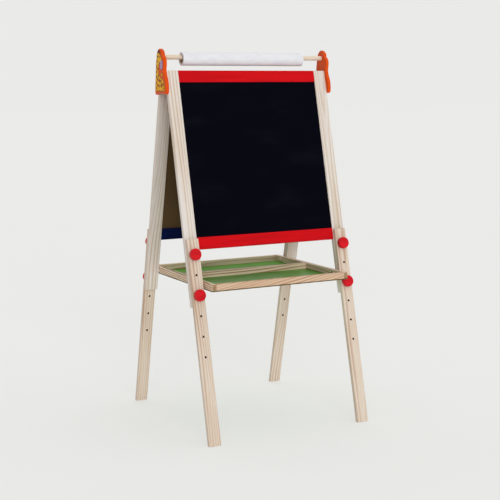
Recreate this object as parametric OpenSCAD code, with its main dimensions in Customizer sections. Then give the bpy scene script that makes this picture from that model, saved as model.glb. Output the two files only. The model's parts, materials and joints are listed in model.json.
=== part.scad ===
// Kids easel: two leaning boards on one pair of side brackets, a folding
// supply tray, four height legs with knobs, and a paper roll on a dowel.
// Millimetres. +Z up, chalkboard side faces -Y, floor at Z = 0.

/* [Frame] */
// Width across the outer faces of the front stiles
easel_w = 550; // [460:5:660]
// Slope distance from the stile top to the upper knob
knob_s = 556.6; // [552:0.2:600]
// How far a stile runs past its lower knob
stile_tail = 32.6; // [16:0.2:40]
// Width of a stile seen from the front
stile_w = 40; // [37:1:48]
// Thickness of the stiles and rails
stile_t = 13; // [12:0.5:18]
// Lean of each frame from upright, in degrees
lean = 13.3; // [11:0.1:15]
// Half gap between the front faces at the top
top_half_gap = 22; // [21:0.5:26]
// Height of the painted rails
rail_h = 36; // [28:1:40]
// Slope distance from the stile top to the lower edge of the bottom rail
rail_low = 541; // [480:1:560]

/* [Boards] */
// Thickness of each board
board_t = 3; // [2.4:0.1:4]
// How far the board face sits behind the stile face
board_set = 3; // [2:0.5:5]
// How far the board edge enters its groove
board_in = 6; // [4:0.5:8]

/* [Legs] */
// Width of a leg
leg_w = 38; // [32:1:40]
// Thickness of a leg
leg_t = 13; // [10:0.5:16]
// Slope length of a leg on its inner face
leg_len = 606; // [500:2:730]
// Hole step that the knobs use, 3 is the tallest
leg_setting = 3; // [0:1:3]
// Distance between neighbouring height holes
hole_step = 60.4; // [50:0.2:72.6]
// Distance from the leg top to its first hole
hole_first = 47; // [30:1:50]

/* [Knobs] */
// Diameter of a knob
knob_d = 35; // [28:0.5:38]
// Thickness of the knob disc
knob_t = 13; // [8:0.5:16]
// Height of the neck under the disc
neck_t = 2.5; // [1:0.5:5]
// Diameter of the knob stud
stud_d = 6; // [5:0.5:6]
// How far a stud reaches into its insert
stud_in = 9; // [5:0.5:9]

/* [Tray] */
// Clear gap between the tray and the rear stiles on each side
tray_gap = 2.5; // [1.5:0.1:4]
// Reach of the tray in front of the rear pivot
tray_front = 399; // [380:1:420]
// Reach of the tray behind the rear pivot
tray_rear = 48; // [30:1:60]
// Thickness of the tray rails
tray_rail_t = 14; // [10:0.5:18]
// Height of the tray rails
tray_rail_h = 19; // [16:0.5:22]
// Thickness of the tray floor panel
tray_floor_t = 3; // [2:0.5:4]
// Slope distance from the upper knob down to the tray pivot
tray_drop = 89.4; // [80:0.2:92]
// Distance of the divider from the middle, towards the rear
divider_y = 3; // [-40:1:40]

/* [Bracket and roll] */
// Thickness of a bracket
bracket_t = 12; // [10:0.5:16]
// Rise of a bracket above the stile tops
bracket_up = 64.5; // [60:0.5:80]
// Reach of a bracket below the stile tops
bracket_down = 72; // [62:0.5:84]
// Diameter of the roll dowel
dowel_d = 14.5; // [12:0.5:16]
// Height of the dowel centre above the stile tops
dowel_up = 39.5; // [38:0.5:44]
// Outer diameter of the paper roll
roll_d = 41; // [32:1:50]
// Inner diameter of the roll core
core_d = 25; // [20:1:27]
// Length of the paper roll
roll_len = 415; // [300:5:460]
// Sideways position of the roll on its dowel
roll_x = -7; // [-10:1:10]

/* [Hidden] */

fine = 48;
eps = 0.01;
half_w = easel_w / 2;
holes = 6;
stile_len = knob_s + 2 * hole_step + stile_tail;
free = 0.3;          // clear gap of a part that moves
snug = 0.05;         // running fit
side_gap = 0.5;      // bracket to rear stile
front_in = half_w - stile_w;
rear_out = half_w - side_gap;
rear_in = rear_out - stile_w;
rail_low_top = rail_low - rail_h;
mid_t = stile_t / 2;

// legs and height
leg_first = 3 - leg_setting;
insert_s = [knob_s, knob_s + 2 * hole_step];
leg_top = knob_s - hole_first - leg_first * hole_step;
leg_end = leg_top + leg_len;
top_z = leg_end * cos(lean);
foot_cut = leg_t * tan(lean);
leg_x = half_w - stile_w / 2;
insert_d = 9.4;
insert_len = 10;
insert_flange_d = 13;
insert_flange_t = 1;
insert_bore_d = stud_d + 2 * snug;
stud_bore_d = stud_d + 2 * free;
stud_in_knob = 9;
knob_gap = 0.1;
knob_neck_d = 20;
knob_edge = 1.5;
glue = 0.02;         // radial play of a glued or driven pin

// board grooves
groove_t = board_t + 0.2;
groove_in = board_in + 0.4;
board_top = rail_h - board_in;
board_bot = rail_low_top + board_in;

// joint dowels
pin_d = 6;
pin_half = 14;
pin_edge = 8;
pin_deep = 14;
joint_s = [pin_edge, rail_h - pin_deep,
  rail_low_top + pin_deep, rail_low - pin_edge];

// fold pivot
fold_s = 22;
fold_y = top_half_gap - mid_t * cos(lean) + fold_s * sin(lean);
fold_z = top_z - fold_s * cos(lean) - mid_t * sin(lean);
fold_pin_d = 6;
fold_pin_in = 26;
bracket_pin_s = [18, 50];
bracket_pin_in = 22;
bracket_pin_hold = bracket_t - 4;
socket_depth = bracket_t - 5;

// tray
tray_low = knob_s + tray_drop;
tray_y = top_half_gap - mid_t * cos(lean) + tray_low * sin(lean);
tray_z = top_z - tray_low * cos(lean) - mid_t * sin(lean);
tray_half = rear_in - tray_gap;
tray_in = tray_half - tray_rail_t;
tray_y0 = tray_y - tray_front;
tray_y1 = tray_y + tray_rear;
tray_top_up = 10.5;
tray_zt = tray_z + tray_top_up;
tray_zb = tray_zt - tray_rail_h;
tray_screw_d = 5;
tray_screw_in = 24;
tray_head_d = 10;
tray_head_t = 3;
cap_d = 13;
cap_t = 4.5;
spacer_d = 14;
front_screw_d = 4.5;
front_screw_gap = 0.4;
front_hole_deep = 22;
corner_cut = 2.5;
nail_d = 2.2;
nail_head_d = 4.5;
nail_head_t = 1;
nail_len = 34;
nail_drop = 9;
floor_nail_d = 1.8;
floor_nail_len = 13;
floor_nail_n = 4;

// dowel and roll
dowel_z = top_z + dowel_up;
dowel_half = half_w + socket_depth - 0.5;
roll_z = dowel_z + dowel_d / 2 - core_d / 2 + free;
core_wall = 1.5;

// Bracket outline, seen along x: a smooth curve through these knots.
// First value is y, second is a share of the rise or of the reach down.
bracket_knots = [
  [0, 1], [-11, 0.93], [-19, 0.8], [-20, 0.69], [-28, 0.59], [-33, 0.4],
  [-31.5, 0.15], [-29.8, 0], [-34, -0.19], [-43, -0.46], [-46.2, -0.78],
  [-42, -0.96], [-28, -0.98], [-5, -0.95], [16, -0.97], [32, -1],
  [36, -0.87], [34.5, -0.55], [30.5, -0.17], [28.2, 0.12], [24.5, 0.47],
  [20, 0.67], [18.5, 0.8], [10, 0.93]];
bracket_steps = 4;

function knot(i) = let (k = bracket_knots[(i + len(bracket_knots)) % len(bracket_knots)])
  [k[0], k[1] * (k[1] > 0 ? bracket_up : bracket_down)];

// Point on the curve between knots i and i + 1, t from 0 to 1
function on_curve(i, t) = let (a = knot(i - 1), b = knot(i), c = knot(i + 1), d = knot(i + 2))
  0.5 * (2 * b + (c - a) * t + (2 * a - 5 * b + 4 * c - d) * t * t
    + (3 * b - a - 3 * c + d) * t * t * t);

bracket_outline = [for (i = [0 : len(bracket_knots) - 1])
  for (j = [0 : bracket_steps - 1]) on_curve(i, j / bracket_steps)];

// Each frame is drawn flat: local z runs up the slope from the stile top,
// local y runs from the outer face inwards.
module front_pose() {
  translate([0, -top_half_gap, top_z])
    rotate([-lean, 0, 0])
      children();
}

module rear_pose() {
  rotate([0, 0, 180])
    front_pose()
      children();
}

// Round bar along y from y0
module bar_y(d, y0, len) {
  translate([0, y0, 0])
    rotate([-90, 0, 0])
      cylinder(d = d, h = len, $fn = fine);
}

// Round bar along x from x0
module bar_x(d, x0, len) {
  translate([x0, 0, 0])
    rotate([0, 90, 0])
      cylinder(d = d, h = len, $fn = fine);
}

// Round bar on side -1 or 1 that starts at distance x0 from the middle
module side_bar(side, d, x0, len) {
  bar_x(d, side > 0 ? x0 : -x0 - len, len);
}

// A stile on one side, its inner edge at distance edge from the middle
module stile(side, edge) {
  difference() {
    translate([side > 0 ? edge : -edge - stile_w, 0, -stile_len])
      cube([stile_w, stile_t, stile_len]);
    translate([side > 0 ? edge - 1 : -edge - groove_in, board_set, -board_bot - 0.4])
      cube([groove_in + 1, groove_t, board_bot - board_top + 0.8]);
    for (s = insert_s)
      translate([side * (edge + stile_w / 2), 0, -s]) {
        bar_y(insert_d + 2 * glue, -1, insert_len + 1);
        bar_y(insert_flange_d + 2 * glue, -1, insert_flange_t + 1);
      }
    for (s = joint_s)
      translate([0, mid_t, -s])
        side_bar(side, pin_d + 2 * glue, edge - 1, pin_half + 1);
  }
}

module front_stile(side) {
  color("BurlyWood")
    front_pose()
      difference() {
        stile(side, front_in);
        for (s = bracket_pin_s)
          translate([0, mid_t, -s])
            side_bar(side, fold_pin_d + 2 * glue, half_w - bracket_pin_in, bracket_pin_in + 1);
        translate([0, mid_t, -tray_low])
          side_bar(side, front_screw_d + 0.5, front_in - 1, front_hole_deep + 1);
      }
}

module rear_stile(side) {
  color("BurlyWood")
    rear_pose()
      difference() {
        stile(-side, rear_in);
        translate([0, mid_t, -fold_s])
          side_bar(-side, fold_pin_d + 2 * snug, rear_out - fold_pin_in - 0.5, fold_pin_in + 1.5);
        translate([0, mid_t, -tray_low])
          side_bar(-side, tray_screw_d + 2 * glue, rear_in - 1, tray_screw_in + 1);
      }
}

// A rail between two stiles, grooved on its lower or upper edge
module rail(edge, s_top, groove_s) {
  difference() {
    translate([-edge, 0, -s_top - rail_h])
      cube([2 * edge, stile_t, rail_h]);
    translate([-edge - 1, board_set, -groove_s - groove_in / 2 - 0.5])
      cube([2 * edge + 2, groove_t, groove_in + 1]);
    for (s = joint_s)
      for (side = [-1, 1])
        if (s > s_top && s < s_top + rail_h)
          translate([0, mid_t, -s])
            side_bar(side, pin_d + 2 * glue, edge - pin_half, pin_half + 1);
  }
}

module top_rail(edge) {
  rail(edge, 0, rail_h - groove_in / 2 + 0.5);
}

module low_rail(edge) {
  rail(edge, rail_low_top, rail_low_top + groove_in / 2 - 0.5);
}

module joint_dowels(edge) {
  for (s = joint_s)
    for (side = [-1, 1])
      translate([0, mid_t, -s])
        side_bar(side, pin_d, edge - pin_half, 2 * pin_half);
}

module board(edge) {
  translate([-edge - board_in, board_set, -board_bot])
    cube([2 * (edge + board_in), board_t, board_bot - board_top]);
}

// Leg in its frame's flat view, centred on x
module leg(x) {
  difference() {
    translate([x - leg_w / 2, 0, 0])
      rotate([90, 0, 90])
        linear_extrude(leg_w)
          polygon([[0, -leg_top], [-leg_t, -leg_top],
            [-leg_t, -leg_end - foot_cut], [0, -leg_end]]);
    for (k = [0 : holes - 1])
      translate([x, 0, -leg_top - hole_first - k * hole_step])
        bar_y(stud_bore_d, -leg_t - 1, leg_t + 2);
  }
}

module inserts(x) {
  for (side = [-1, 1])
    for (s = insert_s)
      translate([side * x, 0, -s])
        difference() {
          union() {
            bar_y(insert_d, 0, insert_len);
            bar_y(insert_flange_d, 0, insert_flange_t);
          }
          bar_y(insert_bore_d, -1, insert_len + 2);
        }
}

// Knob and stud, on the outer face of a leg at x and slope distance s
module knob(x, s) {
  translate([x, -leg_t - knob_gap, -s])
    difference() {
      rotate([90, 0, 0])
        rotate_extrude($fn = 96)
          polygon([[0, 0], [knob_neck_d / 2, 0], [knob_neck_d / 2, neck_t],
            [knob_d / 2 - knob_edge, neck_t], [knob_d / 2, neck_t + knob_edge],
            [knob_d / 2, neck_t + knob_t - knob_edge],
            [knob_d / 2 - knob_edge, neck_t + knob_t], [0, neck_t + knob_t]]);
      bar_y(stud_d + 2 * glue, -stud_in_knob, stud_in_knob + 1);
    }
}

module stud(x, s) {
  translate([x, 0, -s])
    bar_y(stud_d, -leg_t - knob_gap - stud_in_knob, leg_t + knob_gap + stud_in_knob + stud_in);
}

rear_x = rear_in + stile_w / 2;
front_x = front_in + stile_w / 2;

module front_knob(side, n) {
  color("Firebrick")
    front_pose()
      knob(side * front_x, insert_s[n]);
}

module rear_knob(side, n) {
  color("Firebrick")
    rear_pose()
      knob(-side * rear_x, insert_s[n]);
}

module front_stud(side, n) {
  color("Silver")
    front_pose()
      stud(side * front_x, insert_s[n]);
}

module rear_stud(side, n) {
  color("Silver")
    rear_pose()
      stud(-side * rear_x, insert_s[n]);
}

module bracket(side) {
  color("OrangeRed")
    difference() {
      translate([side > 0 ? half_w : -half_w - bracket_t, 0, top_z])
        rotate([90, 0, 90])
          linear_extrude(bracket_t)
            polygon(bracket_outline);
      translate([0, 0, dowel_z])
        side_bar(side, dowel_d + 2 * free, half_w - 1, socket_depth + 1);
      translate([0, fold_y, fold_z])
        side_bar(side, fold_pin_d + 2 * glue, half_w - 1, bracket_pin_hold + 1);
      front_pose()
        for (s = bracket_pin_s)
          translate([0, mid_t, -s])
            side_bar(side, fold_pin_d + 2 * glue, half_w - 1, bracket_pin_hold + 1);
    }
}

module tray_side_rail(side) {
  x0 = side > 0 ? tray_in : -tray_half;
  x1 = x0 + tray_rail_t;
  cut0 = side > 0 ? 0 : corner_cut;
  cut1 = side > 0 ? corner_cut : 0;
  color("Wheat")
    difference() {
      translate([0, 0, tray_zb])
        linear_extrude(tray_rail_h)
          polygon([[x0 + cut0, tray_y0], [x1 - cut1, tray_y0],
            [x1, tray_y0 + cut1], [x1, tray_y1 - cut1],
            [x1 - cut1, tray_y1], [x0 + cut0, tray_y1],
            [x0, tray_y1 - cut0], [x0, tray_y0 + cut0]]);
      translate([0, tray_y, tray_z])
        side_bar(side, tray_screw_d + 2 * snug, tray_in - 1, tray_rail_t + 2);
      translate([0, -tray_y, tray_z]) {
        side_bar(side, front_screw_d + 2 * glue, tray_in - 1, tray_rail_t + 2);
        side_bar(side, tray_head_d, tray_in - 1, 2);
      }
      tray_nail_solids(glue);
      floor_nail_solids(glue);
    }
}

module tray_cross_rail(y0) {
  color("Wheat")
    difference() {
      translate([-tray_in, y0, tray_zb])
        cube([2 * tray_in, tray_rail_t, tray_rail_h]);
      tray_nail_solids(glue);
      floor_nail_solids(glue);
    }
}

// Nails that hold the side rails to the ends of the cross rails
module tray_nail_solids(play) {
  for (side = [-1, 1])
    for (y = [tray_y0 + tray_rail_t / 2, divider_y, tray_y1 - tray_rail_t / 2])
      translate([0, y, tray_zt - nail_drop]) {
        side_bar(side, nail_d + 2 * play, tray_half - nail_len, nail_len);
        side_bar(side, nail_head_d + 2 * play, tray_half - nail_head_t, nail_head_t);
      }
}

// Nails driven up through the floor panel into the rails
module floor_nail_solids(play) {
  span_y = tray_y1 - tray_y0 - 60;
  span_x = 2 * tray_in - 60;
  for (k = [0 : floor_nail_n - 1]) {
    for (side = [-1, 1])
      translate([side * (tray_half - tray_rail_t / 2),
        tray_y0 + 30 + span_y * k / (floor_nail_n - 1), 0])
        floor_nail(play);
    for (y = [tray_y0 + tray_rail_t / 2, tray_y1 - tray_rail_t / 2])
      translate([-span_x / 2 + span_x * k / (floor_nail_n - 1), y, 0])
        floor_nail(play);
  }
}

module floor_nail(play) {
  translate([0, 0, tray_zb - tray_floor_t]) {
    cylinder(d = floor_nail_d + 2 * play, h = floor_nail_len, $fn = 24);
    cylinder(d = nail_head_d + 2 * play, h = nail_head_t, $fn = 24);
  }
}

module front_stile_left() { front_stile(-1); }
module front_stile_right() { front_stile(1); }
module rear_stile_left() { rear_stile(-1); }
module rear_stile_right() { rear_stile(1); }

module front_top_rail() {
  color("Crimson") front_pose() top_rail(front_in);
}
module front_bottom_rail() {
  color("Crimson") front_pose() low_rail(front_in);
}
module rear_top_rail() {
  color("MidnightBlue") rear_pose() top_rail(rear_in);
}
module rear_bottom_rail() {
  color("MidnightBlue") rear_pose() low_rail(rear_in);
}
module chalkboard_panel() {
  color("Black") front_pose() board(front_in);
}
module whiteboard_panel() {
  color("White") rear_pose() board(rear_in);
}
module front_joint_dowels() {
  color("Tan") front_pose() joint_dowels(front_in);
}
module rear_joint_dowels() {
  color("Tan") rear_pose() joint_dowels(rear_in);
}
module leg_front_left() {
  color("BurlyWood") front_pose() leg(-front_x);
}
module leg_front_right() {
  color("BurlyWood") front_pose() leg(front_x);
}
module leg_rear_left() {
  color("BurlyWood") rear_pose() leg(rear_x);
}
module leg_rear_right() {
  color("BurlyWood") rear_pose() leg(-rear_x);
}
module front_inserts() {
  color("Silver") front_pose() inserts(front_x);
}
module rear_inserts() {
  color("Silver") rear_pose() inserts(rear_x);
}
module bracket_left() { bracket(-1); }
module bracket_right() { bracket(1); }

module bracket_pins() {
  color("Tan")
    front_pose()
      for (side = [-1, 1])
        for (s = bracket_pin_s)
          translate([0, mid_t, -s])
            side_bar(side, fold_pin_d, half_w - bracket_pin_in, bracket_pin_in + bracket_pin_hold);
}

module fold_pivot_pins() {
  color("Silver")
    for (side = [-1, 1])
      translate([0, fold_y, fold_z])
        side_bar(side, fold_pin_d, rear_out - fold_pin_in, fold_pin_in + side_gap + bracket_pin_hold);
}

module tray_pivot_screws() {
  color("Silver")
    for (side = [-1, 1])
      translate([0, tray_y, tray_z]) {
        side_bar(side, tray_screw_d, tray_in - free, rear_in - tray_in + free + tray_screw_in);
        side_bar(side, tray_head_d, tray_in - free - tray_head_t, tray_head_t);
      }
}

module tray_pivot_caps() {
  color("Beige")
    for (side = [-1, 1])
      translate([0, tray_y, tray_z])
        difference() {
          side_bar(side, cap_d, tray_in - free - cap_t, cap_t);
          side_bar(side, tray_head_d + 2 * glue, tray_in - free - tray_head_t, cap_t);
        }
}

module tray_spacers() {
  color("WhiteSmoke")
    for (side = [-1, 1])
      translate([0, tray_y, tray_z])
        difference() {
          side_bar(side, spacer_d, tray_half + free, rear_in - tray_half - free);
          side_bar(side, tray_screw_d + 2 * glue, tray_half - 1, stile_w);
        }
}

module tray_front_screws() {
  color("DimGray")
    for (side = [-1, 1])
      translate([0, -tray_y, tray_z]) {
        side_bar(side, front_screw_d, tray_in, front_in - front_screw_gap - tray_in);
        side_bar(side, tray_head_d - 2 * free, tray_in, 1);
      }
}

module tray_rail_left() { tray_side_rail(-1); }
module tray_rail_right() { tray_side_rail(1); }
module tray_front_rail() { tray_cross_rail(tray_y0); }
module tray_rear_rail() { tray_cross_rail(tray_y1 - tray_rail_t); }
module tray_divider() { tray_cross_rail(divider_y - tray_rail_t / 2); }

module tray_floor_panel() {
  color("ForestGreen")
    difference() {
      translate([-tray_half, tray_y0, tray_zb - tray_floor_t])
        cube([2 * tray_half, tray_y1 - tray_y0, tray_floor_t]);
      floor_nail_solids(glue);
    }
}

module tray_frame_nails() {
  color("Gray") tray_nail_solids(0);
}
module tray_floor_nails() {
  color("Gray") floor_nail_solids(0);
}

module roll_dowel() {
  color("Wheat")
    translate([0, 0, dowel_z])
      bar_x(dowel_d, -dowel_half, 2 * dowel_half);
}

// A tube along x, centred on the roll
module roll_tube(outer, inner) {
  translate([roll_x - roll_len / 2, 0, roll_z])
    rotate([0, 90, 0])
      difference() {
        cylinder(d = outer, h = roll_len, $fn = 96);
        translate([0, 0, -1])
          cylinder(d = inner, h = roll_len + 2, $fn = 96);
      }
}

module paper_roll() {
  color("White") roll_tube(roll_d, core_d + 2 * core_wall);
}
module roll_core() {
  color("Peru") roll_tube(core_d + 2 * core_wall, core_d);
}

module knob_front_left_upper() { front_knob(-1, 0); }
module knob_front_left_lower() { front_knob(-1, 1); }
module knob_front_right_upper() { front_knob(1, 0); }
module knob_front_right_lower() { front_knob(1, 1); }
module knob_rear_left_upper() { rear_knob(-1, 0); }
module knob_rear_left_lower() { rear_knob(-1, 1); }
module knob_rear_right_upper() { rear_knob(1, 0); }
module knob_rear_right_lower() { rear_knob(1, 1); }
module stud_front_left_upper() { front_stud(-1, 0); }
module stud_front_left_lower() { front_stud(-1, 1); }
module stud_front_right_upper() { front_stud(1, 0); }
module stud_front_right_lower() { front_stud(1, 1); }
module stud_rear_left_upper() { rear_stud(-1, 0); }
module stud_rear_left_lower() { rear_stud(-1, 1); }
module stud_rear_right_upper() { rear_stud(1, 0); }
module stud_rear_right_lower() { rear_stud(1, 1); }

front_stile_left();
front_stile_right();
front_top_rail();
front_bottom_rail();
chalkboard_panel();
front_joint_dowels();
bracket_left();
bracket_right();
bracket_pins();
fold_pivot_pins();
leg_front_left();
leg_front_right();
front_inserts();
rear_stile_left();
rear_stile_right();
rear_top_rail();
rear_bottom_rail();
whiteboard_panel();
rear_joint_dowels();
leg_rear_left();
leg_rear_right();
rear_inserts();
tray_pivot_screws();
tray_pivot_caps();
tray_spacers();
tray_rail_left();
tray_rail_right();
tray_front_rail();
tray_rear_rail();
tray_divider();
tray_floor_panel();
tray_frame_nails();
tray_floor_nails();
tray_front_screws();
roll_dowel();
paper_roll();
roll_core();
knob_front_left_upper();
knob_front_left_lower();
knob_front_right_upper();
knob_front_right_lower();
knob_rear_left_upper();
knob_rear_left_lower();
knob_rear_right_upper();
knob_rear_right_lower();
stud_front_left_upper();
stud_front_left_lower();
stud_front_right_upper();
stud_front_right_lower();
stud_rear_left_upper();
stud_rear_left_lower();
stud_rear_right_upper();
stud_rear_right_lower();
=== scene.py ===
"""Kids easel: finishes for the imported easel, laid out as an add-on with one operator per group of pieces."""

import json
import math
import random

import bmesh
import bpy
from bpy.props import FloatProperty, FloatVectorProperty, IntProperty, PointerProperty
from mathutils import Matrix, Vector


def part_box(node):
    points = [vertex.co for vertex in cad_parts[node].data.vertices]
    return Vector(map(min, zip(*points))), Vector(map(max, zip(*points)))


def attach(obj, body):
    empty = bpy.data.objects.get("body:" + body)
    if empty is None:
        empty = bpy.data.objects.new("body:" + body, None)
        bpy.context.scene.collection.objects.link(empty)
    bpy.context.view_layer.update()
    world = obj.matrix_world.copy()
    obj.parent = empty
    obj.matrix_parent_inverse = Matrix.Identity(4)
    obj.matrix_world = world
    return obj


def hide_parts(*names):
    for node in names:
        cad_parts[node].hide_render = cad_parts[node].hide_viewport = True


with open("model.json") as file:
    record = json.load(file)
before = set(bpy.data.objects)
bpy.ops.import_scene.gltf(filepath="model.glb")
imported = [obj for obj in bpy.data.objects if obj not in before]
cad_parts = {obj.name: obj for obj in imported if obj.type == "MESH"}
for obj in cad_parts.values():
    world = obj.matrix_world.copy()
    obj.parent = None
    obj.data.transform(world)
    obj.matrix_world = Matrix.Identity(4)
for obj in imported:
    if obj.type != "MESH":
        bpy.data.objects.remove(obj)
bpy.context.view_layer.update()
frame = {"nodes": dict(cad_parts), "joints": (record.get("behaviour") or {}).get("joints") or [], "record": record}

bl_info = {
    "name": "Kids easel",
    "version": (1, 0, 0),
    "blender": (4, 5, 0),
    "location": "3D View > Sidebar > Easel",
    "description": "Builds the wooden, painted, paper and metal pieces of a folding kids easel",
    "category": "Object",
}

NODES = frame["nodes"]
RECORD = frame["record"]
JOINTS = {joint["name"]: joint for joint in frame["joints"]}
BODY_OF = {node: body for body, nodes in RECORD["behaviour"]["bodies"].items() for node in nodes}

MM = 0.001
LEAN = math.asin(JOINTS["unscrew_front_left_upper"]["axis"][2])
# Each frame's own directions: x across, y through its thickness, z up its slope
FRONT = Matrix.Rotation(-LEAN, 4, "X")
REAR = Matrix.Rotation(LEAN, 4, "X")
LEVEL = Matrix.Identity(4)
POSE = {"front": FRONT, "rear": REAR}
OUTWARD = {"front": -1, "rear": 1}
SIDES = {"left": -1, "right": 1}

# Edges and holes
SHARP = 40  # degrees past which an edge stays crisp
ROUND_SHARP = 50  # the same on pieces with wide roundings
FACING = 0.8  # share of a normal past which a face counts as facing that way
TOUCH = 1e-6  # distance within which two points are one
LEG_HOLES = 6
HOLE_RADIUS = 3.2 * MM
FLARE = 0.35 * MM
PAINTED_ROUNDING = 1.0 * MM
BOARD_ROUNDING = 0.3 * MM
SIDE_RAIL_ROUNDING = 0.9 * MM
CROSS_RAIL_ROUNDING = 0.7 * MM
TRAY_CORNER = 3.2 * MM
FLOOR_ROUNDING = 0.5 * MM

# Brackets, dowel and roll
OUTER_ROUNDING = 3.2 * MM
INNER_ROUNDING = 1.2 * MM
SOCKET_GAP = 0.3 * MM
SOCKET_END_GAP = 0.5 * MM
SOCKET_FLARE = 0.6 * MM
DOWEL_ROUNDING = 1.2 * MM
ROLL_SET_BACK = 0.4 * MM
PRINT_LAYERS = 6
OUTLINE = 1.2 * MM


def linear(code):
    """Linear colour, with alpha, of an sRGB hex code such as #C8102E."""
    parts = [int(code[i:i + 2], 16) / 255 for i in (1, 3, 5)]
    return tuple(p / 12.92 if p <= 0.04045 else ((p + 0.055) / 1.055) ** 2.4 for p in parts) + (1.0,)


def colour(name, code, about):
    """A colour setting with its default from a hex code."""
    return FloatVectorProperty(
        name=name, description=about, subtype="COLOR", size=4, min=0, max=1, default=linear(code)
    )


def length(name, millimetres, about):
    """A length setting in metres, with its default in millimetres."""
    return FloatProperty(
        name=name, description=about, subtype="DISTANCE", unit="LENGTH", min=0,
        default=millimetres * MM, precision=5,
    )


# ---------------------------------------------------------------- settings


class EaselWood(bpy.types.PropertyGroup):
    """Colours, grain and edges of the bare wood."""

    early: colour("Stile earlywood", "#E5DFDA", "Pale wood between the growth lines of the stiles")
    late: colour("Stile latewood", "#CDB99E", "Growth lines of the stiles")
    leg_early: colour("Leg earlywood", "#E2D5C6", "Pale wood between the growth lines of the legs")
    leg_late: colour("Leg latewood", "#BE9D84", "Growth lines of the legs")
    tray_early: colour("Tray earlywood", "#F3DFC7", "Pale wood of the tray rails")
    tray_late: colour("Tray latewood", "#98723F", "Growth lines of the tray rails")
    lip_early: colour("Tray front earlywood", "#DCC0A4", "Pale wood of the tray's front rail")
    lip_late: colour("Tray front latewood", "#B08464", "Growth lines of the tray's front rail")
    end_early: colour("End grain earlywood", "#B0926F", "Pale rings where the wood is sawn across")
    end_late: colour("End grain latewood", "#7E5C3C", "Dark rings where the wood is sawn across")
    # Pine grows 2 to 3 mm a year; the lines are drawn further apart, because finer ones don't show
    ring: length("Ring width", 5.0, "Distance between two growth lines")
    rounding: length("Edge rounding", 1.3, "Radius of the sanded edges")
    seed: IntProperty(name="Seed", description="Where each batten is cut from the log", default=7, min=0)


class EaselPaint(bpy.types.PropertyGroup):
    """Colours of the painted and lacquered pieces."""

    red: colour("Red rails", "#CC0A14", "Satin paint of the front rails")
    knob: colour("Knobs", "#D01C26", "Gloss paint of the knobs")
    blue: colour("Blue rails", "#0A1544", "Satin paint of the rear rails")
    orange: colour("Brackets", "#E2500C", "Gloss lacquer of the side brackets")
    green: colour("Tray floor", "#60A63A", "Gloss lacquer of the tray floor")
    chalkboard: colour("Chalkboard", "#05050F", "Matt writing surface")
    whiteboard: colour("Whiteboard", "#F2F2F0", "Dry wipe lacquer")
    hardboard: colour("Hardboard", "#5B4428", "Bare pressed wood fibre")


class EaselPrint(bpy.types.PropertyGroup):
    """Inks of the printed animal."""

    coat: colour("Coat", "#F0B000", "Yellow coat")
    patch: colour("Patches", "#7E1F10", "Brown patches")
    line: colour("Line", "#1C0E0A", "Dark outline")
    muzzle: colour("Muzzle", "#B795BE", "Lilac muzzle")
    eye: colour("Eye", "#2F4C6C", "Blue grey eye")
    layer: length("Ink layer", 0.1, "Rise of each printed layer")


class EaselStage(bpy.types.PropertyGroup):
    """Floor, light and camera."""

    floor: colour("Floor", "#A0A09F", "Pale floor, without its own light")
    glow: FloatProperty(name="Floor glow", description="Light that the floor gives", default=0.61, min=0)
    sky: colour("Surround", "#EAEAE8", "Even light from all round")
    sun: FloatProperty(name="Key light", description="Strength of the broad key light", default=1.25, min=0)
    room: FloatProperty(name="Room", description="Light from the left of the camera", default=0.22, min=0)
    ceiling: FloatProperty(name="Ceiling", description="Extra light from above", default=0.5, min=0)
    lens: FloatProperty(name="Lens", description="Focal length", default=80.7, min=1, unit="CAMERA")


# ---------------------------------------------------------------- shader helpers

# Sockets of a Mix node that mixes colours, which share their names with its other kinds
FACTOR, UNDER, OVER, MIXED = 0, 6, 7, 2


def put(tree, kind, inputs=None, out=None, **settings):
    """Adds a node, sets its properties, and sets or links its inputs. Gives the node, or the output out."""
    node = tree.nodes.new(kind)
    for name, value in settings.items():
        setattr(node, name, value)
    for key, value in (inputs or {}).items():
        socket = node.inputs[key]
        if isinstance(value, bpy.types.NodeSocket):
            tree.links.new(value, socket)
        else:
            socket.default_value = value
    return node if out is None else node.outputs[out]


def dimmed(shade, factor):
    """A colour with its light times factor."""
    return tuple(min(1.0, part * factor) for part in shade[:3]) + (1.0,)


def in_place(tree):
    """Object coordinates in millimetres."""
    metres = put(tree, "ShaderNodeTexCoord", out="Object")
    return put(tree, "ShaderNodeVectorMath", {0: metres, "Scale": 1 / MM}, "Vector", operation="SCALE")


def in_log(tree):
    """Place inside the log in millimetres, z along the grain."""
    return put(tree, "ShaderNodeAttribute", out="Vector", attribute_name="grain_mm")


def mottle(tree, place, size, detail=2.0, rough=0.5, out="Fac"):
    """Cloudy pattern from 0 to 1 whose patches measure size millimetres along x, y and z."""
    patches = put(tree, "ShaderNodeVectorMath", {0: place, 1: size}, "Vector", operation="DIVIDE")
    look = {"Vector": patches, "Scale": 1.0, "Detail": detail, "Roughness": rough}
    return put(tree, "ShaderNodeTexNoise", look, out)


def tint(tree, base, pattern, low, high, strength, shade, blend="MIX"):
    """Lays a colour over the base where a pattern is strong: none of it at low, strength of it at high."""
    reach = {"Value": pattern, "From Min": low, "From Max": high, "To Min": 0.0, "To Max": strength}
    amount = put(tree, "ShaderNodeMapRange", reach, "Result", interpolation_type="SMOOTHSTEP")
    layers = {FACTOR: amount, UNDER: base, OVER: shade}
    return put(tree, "ShaderNodeMix", layers, MIXED, data_type="RGBA", blend_type=blend, clamp_result=True)


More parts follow.
